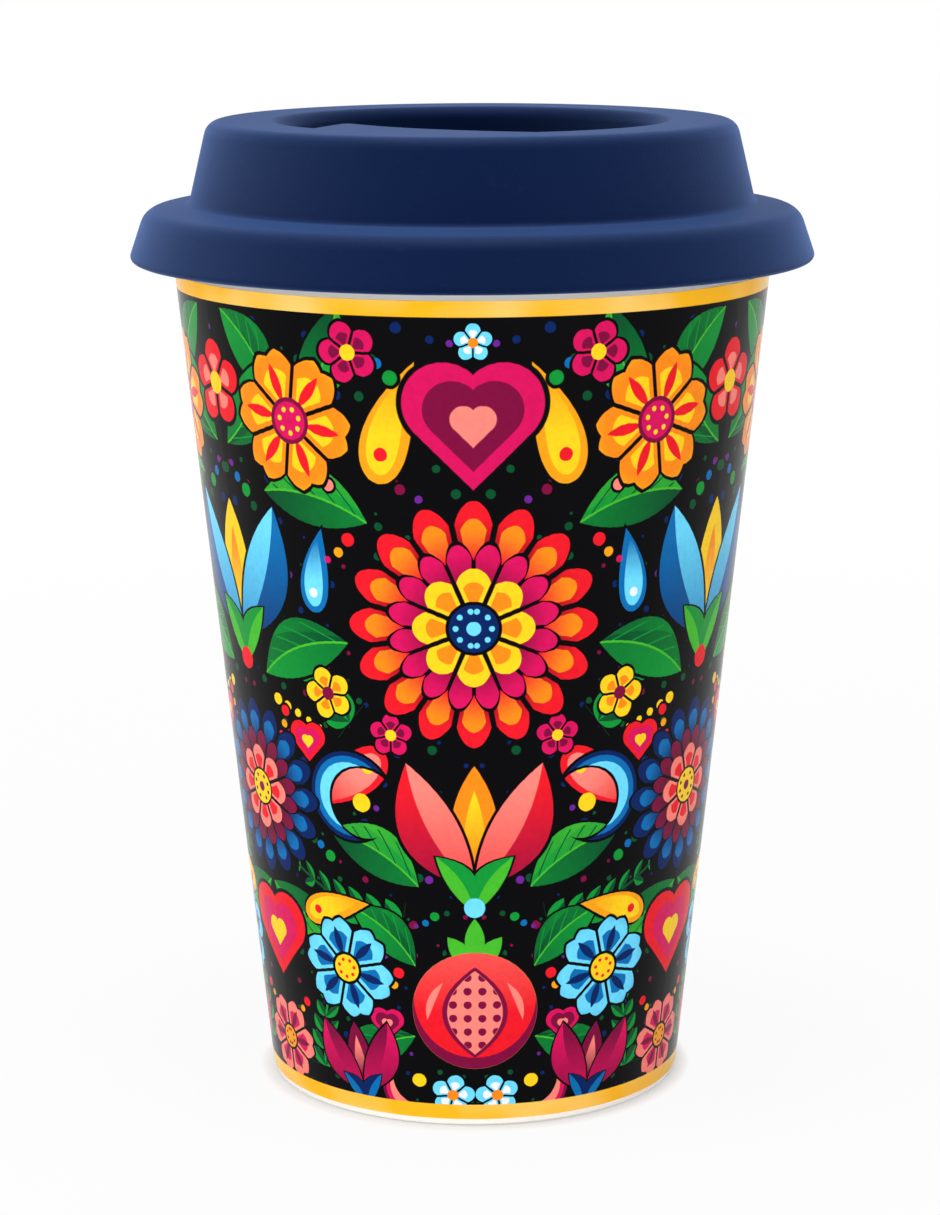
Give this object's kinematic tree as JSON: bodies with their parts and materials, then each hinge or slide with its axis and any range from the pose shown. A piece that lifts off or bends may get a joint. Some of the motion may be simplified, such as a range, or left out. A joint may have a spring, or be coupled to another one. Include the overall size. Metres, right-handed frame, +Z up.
{
  "type": "lidded cup",
  "caption": "Conical double-wall porcelain cup with a printed floral wrap and a lift-off silicone lid with a flange, a well and a sip slot.",
  "frame": {"origin": "middle of the foot ring, on the surface that the cup stands on", "axes": "+Z up along the axis of the cup, -Y towards the front of the cup, +X to the right seen from the front"},
  "size_m": [0.1046, 0.1046, 0.15],
  "materials": {
    "porcelain": "clear glossy glaze on white porcelain",
    "printed_glaze": "fired transfer print under a glossy glaze",
    "lid_silicone": "matt moulded navy silicone",
    "stopper_silicone": "translucent moulded silicone"
  },
  "bodies": {
    "cup": {"outer_shell": "porcelain", "inner_liner": "porcelain", "vent_stopper": "stopper_silicone", "wrap_transfer": "printed_glaze"},
    "lid": {"lid": "lid_silicone"}
  },
  "joints": [
    {"name": "lid_lift", "type": "slide", "parent": "cup", "child": "lid", "axis": [0, 0, 1], "range_m": [0, 0.06]}
  ]
}
